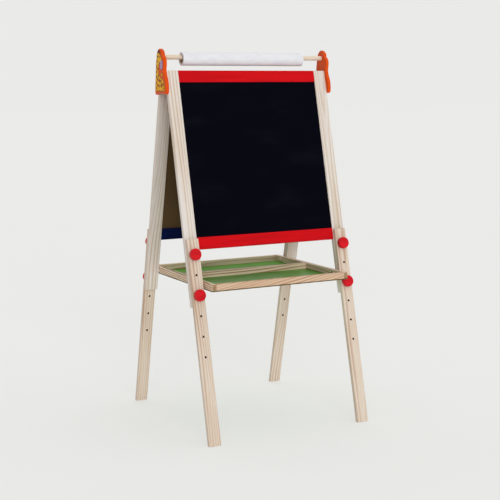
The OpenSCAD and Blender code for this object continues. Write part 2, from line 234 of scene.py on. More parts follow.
def surface(tree, base, relief, depth, gloss, more=None):
    """Outer skin: relief is a pattern from 0 to 1 that stands depth millimetres high, and gloss is the
    roughness of its low and its high places."""
    reach = {"Value": relief, "From Min": 0.3, "From Max": 0.7, "To Min": gloss[0], "To Max": gloss[1]}
    rough = put(tree, "ShaderNodeMapRange", reach, "Result", interpolation_type="SMOOTHSTEP")
    bump = put(tree, "ShaderNodeBump", {"Height": relief, "Strength": 1.0, "Distance": depth * MM}, "Normal")
    look = {"Base Color": base, "Roughness": rough, "Normal": bump}
    skin = put(tree, "ShaderNodeBsdfPrincipled", look | (more or {}), "BSDF")
    put(tree, "ShaderNodeOutputMaterial", {"Surface": skin})


def growth(tree, place, ring):
    """Growth lines of a log whose pith runs along z, ring metres apart: 0 in pale wood, up to 1 in a line."""
    drift = mottle(tree, place, (60, 60, 500), 1.0, 0.4, "Color")
    bend = {0: drift, 1: (22, 22, 0), 2: place}
    bent = put(tree, "ShaderNodeVectorMath", bend, "Vector", operation="MULTIPLY_ADD")
    across = put(tree, "ShaderNodeVectorMath", {0: bent, 1: (1, 1, 0)}, "Vector", operation="MULTIPLY")
    radius = put(tree, "ShaderNodeVectorMath", {0: across}, "Value", operation="LENGTH")
    years = put(tree, "ShaderNodeMath", {0: radius, 1: ring / MM}, "Value", operation="DIVIDE")
    season = put(tree, "ShaderNodeMath", {0: years}, "Value", operation="FRACT")
    weather = mottle(tree, place, (25, 25, 500), 1.0)
    steps = []
    for value, low, high, start, end in (
        (weather, 0.3, 0.7, 0.4, 1.0),  # some years leave a fainter line
        (season, 0.25, 0.86, 0.0, 1.0),  # it darkens slowly over the summer
        (season, 0.90, 1.0, 1.0, 0.0),  # and stops short at the winter
    ):
        reach = {"Value": value, "From Min": low, "From Max": high, "To Min": start, "To Max": end}
        steps.append(put(tree, "ShaderNodeMapRange", reach, "Result", interpolation_type="SMOOTHSTEP"))
    growing = put(tree, "ShaderNodeMath", {0: steps[0], 1: steps[1]}, "Value", operation="MULTIPLY")
    return put(tree, "ShaderNodeMath", {0: growing, 1: steps[2]}, "Value", operation="MULTIPLY")


def wood_relief(tree, lines, fibres):
    """Relief of planed wood: fine fibres, and growth lines that stand a little proud."""
    raised = put(tree, "ShaderNodeMath", {0: lines, 1: 0.35}, "Value", operation="MULTIPLY")
    return put(tree, "ShaderNodeMath", {0: fibres, 1: 0.6, 2: raised}, "Value", operation="MULTIPLY_ADD")


# ---------------------------------------------------------------- materials

# Wood fibre is 0.03 mm thick; it is drawn coarse enough to show
FIBRE = (0.7, 0.7, 45)


def pine(tree, early, late, ring):
    """Planed pine under a thin matt lacquer: pale wood, faint yellow growth lines, fine fibre streaks."""
    place = in_log(tree)
    lines = growth(tree, place, ring)
    fibres = mottle(tree, place, FIBRE, 3.0, 0.6)
    base = tint(tree, early, lines, 0.0, 1.0, 0.9, late)
    base = tint(tree, base, mottle(tree, place, (40, 40, 260)), 0.3, 0.7, 0.28, linear("#E2C9B4"), "MULTIPLY")
    base = tint(tree, base, fibres, 0.35, 0.72, 0.22, linear("#C9A87C"), "MULTIPLY")
    surface(tree, base, wood_relief(tree, lines, fibres), 0.12, (0.46, 0.6), {"Specular IOR Level": 0.3})


def drilled_pine(tree):
    """Wall of a drilled hole in pine: painted shade, a near black brown that stands in for the shadow inside the
    hole, with torn end grain as its relief.
    """
    torn = mottle(tree, in_place(tree), (0.7, 0.7, 0.7), 3.0, 0.6)
    # painted shade: the bore walls are coloured dark brown in place of the shadow that falls inside the hole
    base = tint(tree, linear("#2E2015"), torn, 0.2, 0.8, 1.0, linear("#5A4029"))
    surface(tree, base, torn, 0.15, (0.85, 0.95), {"Specular IOR Level": 0.1})


def beech(tree):
    """Sanded beech rod: even pale wood with short darker flecks a few millimetres long."""
    place = in_log(tree)
    flecks = mottle(tree, place, (0.6, 0.6, 4), 2.0, 0.6)
    base = tint(tree, linear("#EDE0D0"), mottle(tree, place, (8, 8, 160)), 0.2, 0.8, 1.0, linear("#D9C3A8"))
    base = tint(tree, base, flecks, 0.55, 0.75, 0.35, linear("#B98E66"))
    surface(tree, base, flecks, -0.06, (0.46, 0.54), {"Specular IOR Level": 0.3})


def painted_pine(tree, shade, rough, ring, depth):
    """Sprayed enamel on planed pine: even colour, with the grain just showing through as relief."""
    place = in_log(tree)
    lines = growth(tree, place, ring)
    fibres = mottle(tree, place, FIBRE, 3.0, 0.6)
    patches = mottle(tree, place, (14, 14, 160), 3.0, 0.55)
    base = tint(tree, dimmed(shade, 0.9), patches, 0.35, 0.65, 1.0, dimmed(shade, 1.06))
    base = tint(tree, base, lines, 0.0, 1.0, 0.12, dimmed(shade, 0.9))
    relief = wood_relief(tree, lines, fibres)
    surface(tree, base, relief, depth, (rough - 0.06, rough + 0.08), {"Specular IOR Level": 0.07})


def matt_chalkboard_paint(tree, shade):
    """Rolled matt chalkboard paint: near black, a fine tooth, and the ghost of wiped chalk."""
    place = in_place(tree)
    tooth = mottle(tree, place, (0.7, 0.7, 0.7), 3.0, 0.6)
    base = tint(tree, shade, mottle(tree, place, (160, 60, 70), 3.0), 0.5, 0.8, 0.012, linear("#6E7078"))
    base = tint(tree, base, tooth, 0.5, 0.8, 0.02, linear("#50525A"))
    surface(tree, base, tooth, 0.05, (0.82, 0.9), {"Specular IOR Level": 0.03})


def dry_wipe_lacquer(tree, shade):
    """Gloss white lacquer on hardboard: smooth, with a very slight ripple 20 mm long."""
    ripple = mottle(tree, in_place(tree), (20, 20, 20))
    base = tint(tree, shade, ripple, 0.2, 0.8, 1.0, dimmed(shade, 0.97))
    surface(tree, base, ripple, 0.2, (0.14, 0.18), {"Coat Weight": 0.4, "Coat Roughness": 0.06})


def hardboard(tree, shade):
    """Pressed hardboard: brown wood fibre with pale and dark specks 2 mm across and a waxy sheen."""
    place = in_place(tree)
    fibre = mottle(tree, place, (2, 2, 2), 5.0, 0.7)
    base = tint(tree, shade, fibre, 0.55, 0.75, 0.45, linear("#8A6C44"))
    base = tint(tree, base, fibre, 0.45, 0.25, 0.6, linear("#38280F"))
    base = tint(tree, base, mottle(tree, place, (60, 60, 60)), 0.2, 0.8, 0.3, linear("#4A351C"))
    surface(tree, base, fibre, 0.15, (0.5, 0.6), {"Specular IOR Level": 0.3})


def gloss_lacquer(tree, shade, rough, shine, peel):
    """Sprayed gloss lacquer: strong even colour, clear highlights, and an orange peel 3 mm across."""
    place = in_place(tree)
    base = tint(tree, dimmed(shade, 0.88), mottle(tree, place, (50, 50, 50)), 0.35, 0.65, 1.0, shade)
    cells = mottle(tree, place, (2.9, 2.9, 2.9))
    surface(tree, base, cells, peel, (rough - 0.02, rough + 0.02), {"Specular IOR Level": shine})


def ink(tree, shade):
    """Screen printed ink on lacquer: flat colour broken by the screen's fine grain."""
    grain = mottle(tree, in_place(tree), (0.4, 0.4, 0.4))
    base = tint(tree, shade, grain, 0.3, 0.7, 0.5, dimmed(shade, 0.85))
    surface(tree, base, grain, 0.01, (0.42, 0.48), {"Specular IOR Level": 0.12})


def drawing_paper(tree):
    """Uncoated drawing paper: soft white with faint fibre clouds and no shine."""
    place = in_place(tree)
    fibre = mottle(tree, place, (0.8, 0.8, 0.8), 3.0, 0.6)
    clouds = mottle(tree, place, (30, 12, 12), 3.0)
    base = tint(tree, linear("#E8E8EC"), clouds, 0.2, 0.8, 1.0, linear("#E0E0E6"))
    surface(tree, base, fibre, 0.04, (0.77, 0.83), {"Specular IOR Level": 0.15})


def card(tree):
    """Grey brown card tube: recycled fibre with darker specks 1 mm across."""
    specks = mottle(tree, in_place(tree), (1.1, 1.1, 1.1), 4.0, 0.7)
    base = tint(tree, linear("#8C7558"), specks, 0.35, 0.65, 1.0, linear("#B39C7C"))
    surface(tree, base, specks, 0.06, (0.82, 0.88), {"Specular IOR Level": 0.2})


def drawn_steel(tree, shade, rough):
    """Zinc plated or blackened steel, drawn and turned: grey metal with fine streaks."""
    streaks = mottle(tree, in_place(tree), (0.3, 0.3, 1.7), 3.0, 0.6)
    base = tint(tree, shade, streaks, 0.3, 0.7, 0.3, dimmed(shade, 0.75))
    surface(tree, base, streaks, 0.01, (rough - 0.08, rough + 0.1), {"Metallic": 1.0})


def nylon(tree, shade):
    """Moulded nylon: milky plastic with the mould's fine matt skin."""
    skin = mottle(tree, in_place(tree), (0.5, 0.5, 0.5))
    base = tint(tree, shade, skin, 0.3, 0.7, 0.3, dimmed(shade, 0.9))
    surface(tree, base, skin, 0.02, (0.38, 0.46), {"Subsurface Weight": 0.05})


def opal_acrylic(tree, shade, glow):
    """Opal acrylic sheet lit from below: pale and matt, so that shadows on it stay faint."""
    place = in_place(tree)
    base = tint(tree, shade, mottle(tree, place, (300, 300, 300)), 0.2, 0.8, 1.0, dimmed(shade, 0.99))
    light = {"Specular IOR Level": 0.0, "Emission Color": linear("#EAEAE8"), "Emission Strength": glow}
    surface(tree, base, mottle(tree, place, (5, 5, 5)), 0.0, (0.98, 1.0), light)


FINISHES = {}


def material(name):
    """The named finish, made once."""
    if name in FINISHES:
        return FINISHES[name]
    wood = bpy.context.scene.easel_wood
    paint = bpy.context.scene.easel_paint
    inks = bpy.context.scene.easel_print
    stage = bpy.context.scene.easel_stage
    makers = {
        "pine_stile": (pine, wood.early[:], wood.late[:], wood.ring),
        "pine_leg": (pine, wood.leg_early[:], wood.leg_late[:], wood.ring * 1.1),
        "pine_tray": (pine, wood.tray_early[:], wood.tray_late[:], wood.ring * 1.2),
        "pine_tray_front": (pine, wood.lip_early[:], wood.lip_late[:], wood.ring * 1.6),
        "pine_end": (pine, wood.end_early[:], wood.end_late[:], wood.ring * 0.7),
        "drilled_pine": (drilled_pine,),
        "beech_rod": (beech,),
        "red_satin_paint": (painted_pine, paint.red[:], 0.38, wood.ring, 0.10),
        "blue_satin_paint": (painted_pine, paint.blue[:], 0.38, wood.ring, 0.10),
        "red_gloss_paint": (painted_pine, paint.knob[:], 0.30, wood.ring, 0.02),
        "orange_gloss_lacquer": (gloss_lacquer, paint.orange[:], 0.34, 0.1, 0.03),
        "green_gloss_lacquer": (gloss_lacquer, paint.green[:], 0.3, 0.05, 0.04),
        "matt_chalkboard_paint": (matt_chalkboard_paint, paint.chalkboard[:]),
        "dry_wipe_lacquer": (dry_wipe_lacquer, paint.whiteboard[:]),
        "hardboard": (hardboard, paint.hardboard[:]),
        "ink_line": (ink, inks.line[:]),
        "ink_coat": (ink, inks.coat[:]),
        "ink_patch": (ink, inks.patch[:]),
        "ink_muzzle": (ink, inks.muzzle[:]),
        "ink_eye": (ink, inks.eye[:]),
        "drawing_paper": (drawing_paper,),
        "card_tube": (card,),
        "bright_zinc": (drawn_steel, linear("#B9BCC0"), 0.32),
        "black_phosphate": (drawn_steel, linear("#4A4643"), 0.5),
        "beige_cap_plastic": (nylon, linear("#D9C2A4")),
        "natural_nylon": (nylon, linear("#E9E8E2")),
        "opal_floor": (opal_acrylic, stage.floor[:], stage.glow),
    }
    FINISHES[name] = bpy.data.materials.new(name)
    FINISHES[name].use_nodes = True
    tree = FINISHES[name].node_tree
    tree.nodes.clear()
    maker, *values = makers[name]
    maker(tree, *values)
    return FINISHES[name]


# ---------------------------------------------------------------- mesh helpers


def box_of(points):
    """Lowest and highest corners of some points."""
    low = Vector(min(p[i] for p in points) for i in range(3))
    high = Vector(max(p[i] for p in points) for i in range(3))
    return low, high


def middle(low, high):
    """Point halfway between two corners."""
    return (low + high) / 2


def local_box(node, pose):
    """Lowest and highest corners of a CAD node along a frame's own directions."""
    back = pose.inverted()
    return box_of([back @ vertex.co for vertex in NODES[node].data.vertices])


def islands(node):
    """Box of each separate solid of a CAD node, in a steady order."""
    mesh = bmesh.new()
    mesh.from_mesh(NODES[node].data)
    bmesh.ops.remove_doubles(mesh, verts=mesh.verts, dist=TOUCH)
    seen, boxes = set(), []
    for start in mesh.verts:
        if start in seen:
            continue
        seen.add(start)
        group, edge = [], [start]
        while edge:
            vertex = edge.pop()
            group.append(vertex.co.copy())
            for link in vertex.link_edges:
                other = link.other_vert(vertex)
                if other not in seen:
                    seen.add(other)
                    edge.append(other)
        boxes.append(box_of(group))
    mesh.free()
    return sorted(boxes, key=lambda box: tuple(round(c, 5) for c in box[0]))


def to_object(name, shape):
    """A linked object from a bmesh."""
    mesh = bpy.data.meshes.new(name)
    shape.to_mesh(mesh)
    shape.free()
    piece = bpy.data.objects.new(name, mesh)
    bpy.context.scene.collection.objects.link(piece)
    return piece


def bake_modifiers(piece):
    """Puts the result of the live modifiers into the mesh and clears them."""
    bpy.context.view_layer.update()
    graph = bpy.context.evaluated_depsgraph_get()
    mesh = bpy.data.meshes.new_from_object(piece.evaluated_get(graph))
    piece.modifiers.clear()
    old = piece.data
    piece.data = mesh
    bpy.data.meshes.remove(old)
    return piece


def smooth(piece, sharp=SHARP):
    """Smooth shading that stays crisp at edges over sharp degrees, with flat faces kept flat."""
    piece.data.shade_smooth()
    piece.data.set_sharp_from_angle(angle=math.radians(sharp))
    weigh = piece.modifiers.new("flat faces stay flat", "WEIGHTED_NORMAL")
    weigh.keep_sharp = True
    return bake_modifiers(piece)


def cut(piece, tool):
    """Takes the tool's shape out of the piece."""
    knife = piece.modifiers.new("cut", "BOOLEAN")
    knife.operation = "DIFFERENCE"
    knife.solver = "EXACT"
    knife.object = tool
    bake_modifiers(piece)
    bpy.data.meshes.remove(tool.data)
    return piece


def block(low, high):
    """A box between two corners, as a bmesh."""
    mesh = bmesh.new()
    bmesh.ops.create_cube(mesh, size=1)
    for vertex in mesh.verts:
        for i in range(3):
            vertex.co[i] = low[i] if vertex.co[i] < 0 else high[i]
    return mesh


def round_edges(mesh, edges, radius, steps=3):
    """Rounds these edges of a bmesh."""
    bmesh.ops.bevel(
        mesh, geom=edges, offset=radius, segments=steps, profile=0.5, affect="EDGES", clamp_overlap=True
    )


def lathe(profile, steps):
    """Turned shape round z from (radius, height) points. A zero radius closes an end."""
    mesh = bmesh.new()
    rings = []
    for radius, height in profile:
        if radius < TOUCH:
            rings.append([mesh.verts.new((0, 0, height))])
            continue
        rings.append([
            mesh.verts.new((radius * math.cos(a), radius * math.sin(a), height))
            for a in (math.tau * k / steps for k in range(steps))
        ])
    for lower, upper in zip(rings, rings[1:]):
        for k in range(steps):
            corners = [lower[k % len(lower)], lower[(k + 1) % len(lower)],
                       upper[(k + 1) % len(upper)], upper[k % len(upper)]]
            corners = [c for i, c in enumerate(corners) if c not in corners[:i]]
            mesh.faces.new(corners)
    bmesh.ops.recalc_face_normals(mesh, faces=mesh.faces)
    return mesh


def rounded_end(radius, height, soft, steps):
    """Profile of a disc's rounded rim and closed top, from its rounding up to its middle."""
    return arc((radius - soft, height - soft), soft, 0, 90, steps) + [(0, height)]


def drop_in(mesh, part, place):
    """Adds a bmesh, moved to its place, to another one."""
    scratch = bpy.data.meshes.new("scratch")
    part.to_mesh(scratch)
    part.free()
    scratch.transform(place)
    mesh.from_mesh(scratch)
    bpy.data.meshes.remove(scratch)


def arc(centre, radius, start, end, steps):
    """Points on an arc in degrees, both ends included."""
    angles = [math.radians(start + (end - start) * k / steps) for k in range(steps + 1)]
    return [(centre[0] + radius * math.cos(a), centre[1] + radius * math.sin(a)) for a in angles]


def along(direction, foot):
    """Place of a turned shape that stands on this foot with its z towards this direction."""
    return Matrix.Translation(foot) @ Vector(direction).to_track_quat("Z", "Y").to_matrix().to_4x4()


def add_grain(piece, axis, cut_at):
    """Stores each point's place inside the log in millimetres, z along the grain. cut_at is its log_place."""
    order = {"x": (1, 2, 0), "y": (0, 2, 1), "z": (0, 1, 2)}[axis]
    points = [Vector(vertex.co[i] / MM for i in order) for vertex in piece.data.vertices]
    centre = middle(*box_of(points))
    offset, tilt = cut_at
    turn = Matrix.Rotation(math.radians(tilt[0]), 3, "X") @ Matrix.Rotation(math.radians(tilt[1]), 3, "Y")
    values = piece.data.attributes.new("grain_mm", "FLOAT_VECTOR", "POINT")
    for point, item in zip(points, values.data):
        item.vector = turn @ (point - centre) + Vector(offset)


def log_place(name):
    """Where a batten is cut from its log: its middle from the pith in mm, and its lean against the grain.
    Off to one side the lines run along the batten; the lean makes them run out and meet in points."""
    pick = random.Random(f"{name} {bpy.context.scene.easel_wood.seed}")
    slope = 1.6
    side = pick.choice((-1, 1))
    offset = (side * pick.uniform(0, 60), pick.uniform(18, 60), pick.uniform(0, 4000))
    return offset, (pick.uniform(-slope, slope), pick.uniform(-slope, slope))


# Pieces whose grain shows most, cut where a sawyer would cut them to get these figures:
# place from the pith in mm, and lean against the grain in degrees.
CUTS = {
    "rear_stile_left_pine": ((9, 30, 640), (1.0, 0.5)),
    "front_stile_left_pine": ((12, 34, 0), (0.5, 0.3)),
    "front_stile_right_pine": ((-16, 32, 300), (0.6, -0.3)),
    "leg_front_left_pine": ((26, 30, 0), (0.25, 0.2)),
    "leg_front_right_pine": ((-14, 24, 900), (0.4, 0.2)),
    "leg_rear_left_pine": ((32, 34, 60), (0.3, 0.2)),
    "leg_rear_right_pine": ((8, 26, 700), (0.5, 0.3)),
    "tray_front_rail_pine": ((10, 46, 300), (11, 0)),
    "tray_rear_rail_pine": ((22, 4, 0), (1.2, 0)),
    "tray_divider_pine": ((18, 3, 500), (0.8, 0)),
    "tray_rail_left_pine": ((4, 30, 200), (2.5, 0)),
    "tray_rail_right_pine": ((20, 5, 800), (1.0, 0)),
}


def settle(piece, node, materials, pose=LEVEL, added=False):
    """Places a piece, gives it its finishes, and ties it to the CAD node it stands for or is added to."""
    piece.data.transform(pose)
    for name in materials:
        piece.data.materials.append(material(name))
    if not added:
        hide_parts(node)
    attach(piece, BODY_OF[node])


# ---------------------------------------------------------------- geometry node trees


def node_tree(name, inputs):
    """A geometry node tree with a geometry input and output and the named inputs. Gives it and its inputs."""
    tree = bpy.data.node_groups.new(name, "GeometryNodeTree")
    tree.interface.new_socket("Geometry", in_out="INPUT", socket_type="NodeSocketGeometry")
    tree.interface.new_socket("Geometry", in_out="OUTPUT", socket_type="NodeSocketGeometry")
    for label, kind, value in inputs:
        item = tree.interface.new_socket(label, in_out="INPUT", socket_type=kind)
        if value is not None:
            item.default_value = value
    return tree, put(tree, "NodeGroupInput").outputs


def close_tree(tree, geometry, finish):
    """Ends a tree in Realize Instances and Set Material."""
    real = put(tree, "GeometryNodeRealizeInstances", {"Geometry": geometry}, "Geometry")
    shown = put(tree, "GeometryNodeSetMaterial", {"Geometry": real, "Material": finish}, "Geometry")
    put(tree, "NodeGroupOutput", {"Geometry": shown})
    return tree


def use_tree(piece, tree, values):
    """Runs a tree on a piece, its inputs set by identifier, and keeps the plain mesh."""
    run = piece.modifiers.new(tree.name, "NODES")
    run.node_group = tree
    for item in tree.interface.items_tree:
        if item.item_type == "SOCKET" and item.in_out == "INPUT" and item.name in values:
            run[item.identifier] = values[item.name]
    return bake_modifiers(piece)


def nail_tree():
    """Nails: a copy at each point, its head's top on the point and its shank down the point's turned z."""
    found = bpy.data.node_groups.get("easel nails")
    if found:
        return found
    tree, given = node_tree("easel nails", [
        ("Shank radius", "NodeSocketFloat", 0.001), ("Shank length", "NodeSocketFloat", 0.03),
        ("Head radius", "NodeSocketFloat", 0.002), ("Head height", "NodeSocketFloat", 0.001),
        ("Finish", "NodeSocketMaterial", None),
    ])
    shank = put(tree, "GeometryNodeMeshCylinder",
                {"Vertices": 16, "Radius": given["Shank radius"], "Depth": given["Shank length"]}, "Mesh")
    rim = put(tree, "ShaderNodeMath", {0: given["Head radius"], 1: 0.82}, "Value", operation="MULTIPLY")
    head = put(tree, "GeometryNodeMeshCone",
               {"Vertices": 24, "Radius Top": rim, "Radius Bottom": given["Head radius"],
                "Depth": given["Head height"]}, "Mesh")
    nail = put(tree, "GeometryNodeJoinGeometry")
    # the cylinder stands round its middle and the cone on its base; both hang from the point
    for part, size, share in ((shank, "Shank length", -0.5), (head, "Head height", -1.0)):
        drop = put(tree, "ShaderNodeMath", {0: given[size], 1: share}, "Value", operation="MULTIPLY")
        place = put(tree, "ShaderNodeCombineXYZ", {"Z": drop}, "Vector")
        hung = put(tree, "GeometryNodeTransform", {"Geometry": part, "Translation": place}, "Geometry")
        tree.links.new(hung, nail.inputs[0])
    stored = {"Name": "turn"}
    turn = put(tree, "GeometryNodeInputNamedAttribute", stored, "Attribute", data_type="FLOAT_VECTOR")
    rotation = put(tree, "FunctionNodeEulerToRotation", {"Euler": turn}, "Rotation")
    spread = {"Points": given["Geometry"], "Instance": nail.outputs[0], "Rotation": rotation}
    copies = put(tree, "GeometryNodeInstanceOnPoints", spread, "Instances")
    return close_tree(tree, copies, given["Finish"])


def thread_tree():
    """A machine thread: a ridge that winds up a rod, joined to the rod it is given."""
    found = bpy.data.node_groups.get("easel thread")
    if found:
        return found
    tree, given = node_tree("easel thread", [
        ("Turns", "NodeSocketFloat", 20.0), ("Radius", "NodeSocketFloat", 0.003),
        ("Length", "NodeSocketFloat", 0.02), ("Ridge", "NodeSocketFloat", 0.0005),
        ("Finish", "NodeSocketMaterial", None),
    ])
    path = put(tree, "GeometryNodeCurveSpiral",
               {"Resolution": 20, "Rotations": given["Turns"], "Start Radius": given["Radius"],
                "End Radius": given["Radius"], "Height": given["Length"]}, "Curve")
    section = {"Resolution": 4, "Radius": given["Ridge"]}
    ridge = put(tree, "GeometryNodeCurvePrimitiveCircle", section, "Curve", mode="RADIUS")
    wound = put(tree, "GeometryNodeCurveToMesh",
                {"Curve": path, "Profile Curve": ridge, "Fill Caps": True}, "Mesh")
    both = put(tree, "GeometryNodeJoinGeometry")
    tree.links.new(given["Geometry"], both.inputs[0])
    tree.links.new(wound, both.inputs[0])
    return close_tree(tree, both.outputs[0], given["Finish"])


# ---------------------------------------------------------------- pieces


def drill(piece, low, high, holes):
    """Drills the holes through a batten's thickness. A hair of a countersink keeps their mouths from
    looking razor sharp."""
    depth = high.y - low.y
    mouth = HOLE_RADIUS + 2 * FLARE
    bits = bmesh.new()
    for x, z in holes:
        bit = lathe([(0, -FLARE), (mouth, -FLARE), (HOLE_RADIUS, FLARE), (HOLE_RADIUS, depth - FLARE),
                     (mouth, depth + FLARE), (0, depth + FLARE)], 32)
        drop_in(bits, bit, Matrix.Translation((x, low.y, z)) @ Matrix.Rotation(-math.pi / 2, 4, "X"))
    cut(piece, to_object("drill", bits))


def batten(name, low, high, axis, rounding, holes=(), foot=None, corner=None):
    """A planed batten in a frame's own directions. foot is (side of y, rise) of a foot cut level with the
    floor, corner is (side of x, radius) of the two upright end edges that are rounded more."""
    mesh = block(low, high)
    if foot:
        for vertex in mesh.verts:
            inner = vertex.co.y == (low.y if foot[0] > 0 else high.y)
            if inner and vertex.co.z == low.z:
                vertex.co.z += foot[1]
    if corner:
        edge_x = high.x if corner[0] > 0 else low.x
        upright = [e for e in mesh.edges
                   if all(v.co.x == edge_x for v in e.verts) and e.verts[0].co.y == e.verts[1].co.y]
        round_edges(mesh, upright, corner[1], 5)
    hard = [e for e in mesh.edges if e.calc_face_angle(0) > math.radians(SHARP)]
    round_edges(mesh, hard, rounding)
    piece = to_object(name, mesh)
    if holes:
        drill(piece, low, high, holes)
    smooth(piece)
    side, end, wall = range(3)
    grain = "xyz".index(axis)
    for polygon in piece.data.polygons:
        centre = polygon.center
        drilled = any(math.hypot(centre.x - x, centre.z - z) < HOLE_RADIUS * 1.05 for x, z in holes)
        sawn = abs(polygon.normal[grain]) > FACING
        polygon.material_index = wall if drilled else end if sawn else side
    add_grain(piece, axis, CUTS.get(name) or log_place(name))
    return piece


def build_stiles():
    """Four pine stiles with sanded edges."""
    rounding = bpy.context.scene.easel_wood.rounding
    for where, pose in POSE.items():
        for side in SIDES:
            node = f"{where}_stile_{side}"
            low, high = local_box(node, pose)
            piece = batten(f"{node}_pine", low, high, "z", rounding)
            settle(piece, node, ["pine_stile", "pine_end"], pose)


def build_legs():
    """Four pine legs with their height holes, feet cut level with the floor."""
    rounding = bpy.context.scene.easel_wood.rounding
    for where, pose in POSE.items():
        for side in SIDES:
            node = f"leg_{where}_{side}"
            low, high = local_box(node, pose)
            upper = middle(*local_box(f"stud_{where}_{side}_upper", pose))
            lower = middle(*local_box(f"stud_{where}_{side}_lower", pose))
            step = (upper.z - lower.z) / 2
            holes = [(upper.x, upper.z - k * step) for k in range(LEG_HOLES)]
            rise = (high.y - low.y) * math.tan(LEAN)
            foot = (OUTWARD[where], rise)
            piece = batten(f"{node}_pine", low, high, "z", rounding, holes, foot)
            # the third finish is painted shade on the walls of the height holes
            settle(piece, node, ["pine_leg", "pine_end", "drilled_pine"], pose)


def build_rails():
    """Painted rails above and below each board."""
    for where, finish in (("front", "red_satin_paint"), ("rear", "blue_satin_paint")):
        for level in ("top", "bottom"):
            node = f"{where}_{level}_rail"
            low, high = local_box(node, POSE[where])
            piece = batten(f"{node}_painted", low, high, "x", PAINTED_ROUNDING)
            settle(piece, node, [finish, finish], POSE[where])


def build_boards():
    """Chalkboard and whiteboard: hardboard sheets coated on the outer face only."""
    for node, where, coat in (
        ("chalkboard_panel", "front", "matt_chalkboard_paint"),
        ("whiteboard_panel", "rear", "dry_wipe_lacquer"),
    ):
        mesh = block(*local_box(node, POSE[where]))
        round_edges(mesh, mesh.edges[:], BOARD_ROUNDING, 2)
        for face in mesh.faces:
            face.material_index = 0 if face.normal.y * OUTWARD[where] > FACING else 1
        piece = smooth(to_object(f"{node}_sheet", mesh))
        settle(piece, node, [coat, "hardboard"], POSE[where])


def outline_of(node, face_x):
    """The bracket's outline on its face at face_x, as (y, z) points in order round it."""
    on_face = [v.co for v in NODES[node].data.vertices if abs(v.co.x - face_x) < 10 * TOUCH]
    points = {(round(place.y, 6), round(place.z, 6)) for place in on_face}
    centre_y = sum(p[0] for p in points) / len(points)
    centre_z = sum(p[1] for p in points) / len(points)
    return sorted(points, key=lambda p: math.atan2(p[1] - centre_z, p[0] - centre_y))


def inset(points, distance):
    """A closed outline, given anticlockwise, moved inwards by distance."""
    moved = []
    count = len(points)
    for i, here in enumerate(points):
        before, after = points[i - 1], points[(i + 1) % count]
        run = Vector((after[0] - before[0], after[1] - before[1])).normalized()
        moved.append((here[0] - run.y * distance, here[1] + run.x * distance))
    return moved


def curve_through(knots, steps=6):
    """Closed smooth outline through the knots."""
    points = []
    count = len(knots)
    for i in range(count):
        a, b, c, d = (Vector(knots[(i + k) % count]) for k in (-1, 0, 1, 2))
        for j in range(steps):
            t = j / steps
            points.append(tuple(0.5 * (2 * b + (c - a) * t + (2 * a - 5 * b + 4 * c - d) * t * t
                                       + (3 * b - a - 3 * c + d) * t ** 3)))
    return points


def cut_socket(piece, sign, inner):
    """Sinks the blind socket for the roll's dowel into a bracket's inner face at x = inner."""
    low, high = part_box("roll_dowel")
    centre = middle(low, high)
    wall = (high.z - low.z) / 2 + SOCKET_GAP
    floor_x = (high.x if sign > 0 else -low.x) + SOCKET_END_GAP
    mouth = floor_x - abs(inner)
    plug = lathe([(0, 0), (wall, 0), (wall, mouth), (wall + SOCKET_FLARE, mouth + SOCKET_FLARE),
                  (0, mouth + SOCKET_FLARE)], 48)
    tool = to_object("socket", plug)
    tool.data.transform(along((-sign, 0, 0), (sign * floor_x, centre.y, centre.z)))
    cut(piece, tool)


def build_brackets():
    """Side brackets: sawn board with well rounded lacquered edges and a blind socket for the roll's dowel."""
    quarter = [math.radians(90 * k / 5) for k in range(6)]
    for side, sign in SIDES.items():
        node = f"bracket_{side}"
        low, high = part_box(node)
        outer, inner = (low.x, high.x) if sign < 0 else (high.x, low.x)
        outline = outline_of(node, outer)
        # set back, so that the print on it ends at the board's true face
        outer -= sign * PRINT_LAYERS * bpy.context.scene.easel_print.layer
        layers = []
        for face_x, inwards, radius, turns in (
            (outer, -sign, OUTER_ROUNDING, reversed(quarter)), (inner, sign, INNER_ROUNDING, quarter),
        ):
            for a in turns:
                layers.append((face_x + inwards * radius * (1 - math.sin(a)), radius * (1 - math.cos(a))))
        mesh = bmesh.new()
        rings = [[mesh.verts.new((x, y, z)) for y, z in inset(outline, depth)] for x, depth in layers]
        skin_rings(mesh, rings)
        piece = to_object(f"{node}_lacquered", mesh)
        cut_socket(piece, sign, inner)
        settle(smooth(piece, ROUND_SHARP), node, ["orange_gloss_lacquer"])


# The printed animal, drawn on the bracket's outer face in millimetres: (forwards, above the stile tops).
# A made-up giraffe: head at the top, muzzle forwards, neck down the back, patched body and four stout legs.
FIGURE = {
    "horn_back": ("ink_patch", [(-9, 54), (-6.5, 59.5), (-2.5, 59), (-3, 52)]),
    "horn_front": ("ink_patch", [(2, 53), (4, 57.5), (8, 55), (7, 49)]),
    "ear": ("ink_coat", [(-12, 44), (-14.5, 48.5), (-11, 52), (-6, 48)]),
    "body": ("ink_coat", [
        (-22, -6), (-13, -10), (-4, -10), (6, -22), (16, -24), (25, -28), (33, -36), (37, -47), (38, -58),
        (33, -62), (27, -58), (20, -62), (13, -58), (6, -62), (-2, -57), (-10, -62), (-18, -58), (-25, -63),
        (-29, -58), (-29, -42), (-27, -26), (-25, -14),
    ]),
    "head": ("ink_coat", [
        (-17.5, 38), (-14.5, 46), (-8, 51), (2, 50), (11, 42), (18, 34), (19, 27), (12, 24), (4, 24),
        (-3, 17), (-6, 4), (-5, -8), (-13, -13), (-22, -8), (-21.5, 12), (-19.5, 26),
    ]),
    "muzzle": ("ink_muzzle", [
        (11, 28), (18, 30.5), (24.5, 27), (26.5, 17), (25, 7), (18, 2), (10, 4), (6, 12), (6, 21),
    ]),
    "leaf": ("ink_coat", [(14, -14), (20, -8), (25, -11), (22, -17), (16, -18)]),
}
